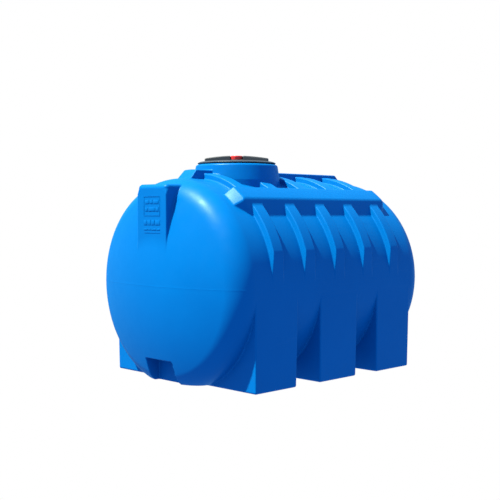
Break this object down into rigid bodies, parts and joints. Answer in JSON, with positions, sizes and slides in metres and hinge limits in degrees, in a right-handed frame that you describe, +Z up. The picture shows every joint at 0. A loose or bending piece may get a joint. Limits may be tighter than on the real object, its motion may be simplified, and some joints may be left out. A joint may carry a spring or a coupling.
{
  "type": "horizontal water storage tank",
  "caption": "Low moulded plastic water tank on full-width feet, with ribs, rails, a label boss, an outlet recess and a screw lid with a breather valve.",
  "frame": {"origin": "on the ground, below the middle of the barrel, at the bottom centre of the bounding box", "axes": "+Z up; +Y along the barrel's axis, away from the head that carries the label boss and the outlet recess; +X across the barrel"},
  "size_m": [1.22, 1.82, 1.2975],
  "materials": {
    "tank_blue": "satin rotationally moulded polyethylene",
    "lid_black": "satin injection moulded polypropylene",
    "rubber_black": "matte moulded EPDM",
    "vent_red": "semi-gloss injection moulded plastic",
    "vent_grey": "satin injection moulded plastic",
    "silicone": "matte translucent silicone rubber"
  },
  "bodies": {
    "tank": {"tank_shell": "tank_blue"},
    "lid_lift": {"lid_gasket": "rubber_black"},
    "lid_turn": {"lid": "lid_black", "vent_body": "vent_grey", "vent_gasket": "rubber_black", "vent_cap": "vent_red", "vent_nut": "vent_grey", "vent_screen": "vent_grey"},
    "vent_valve": {"vent_disc": "silicone"}
  },
  "joints": [
    {"name": "lid_rise", "type": "slide", "parent": "tank", "child": "lid_lift", "axis": [0, 0, 1], "range_m": [0, 0.036]},
    {"name": "lid_unscrew", "type": "hinge", "parent": "lid_lift", "child": "lid_turn", "pos_m": [0, -0.2395, 1.2425], "axis": [0, 0, 1], "range_deg": [0, 1080]},
    {"name": "vent_disc_lift", "type": "slide", "parent": "lid_turn", "child": "vent_valve", "axis": [0, 0, 1], "range_m": [0, 0.003]}
  ],
  "couplings": [
    {"joint": "lid_rise", "follows": "lid_unscrew", "m_per_rad": 0.0019099}
  ]
}
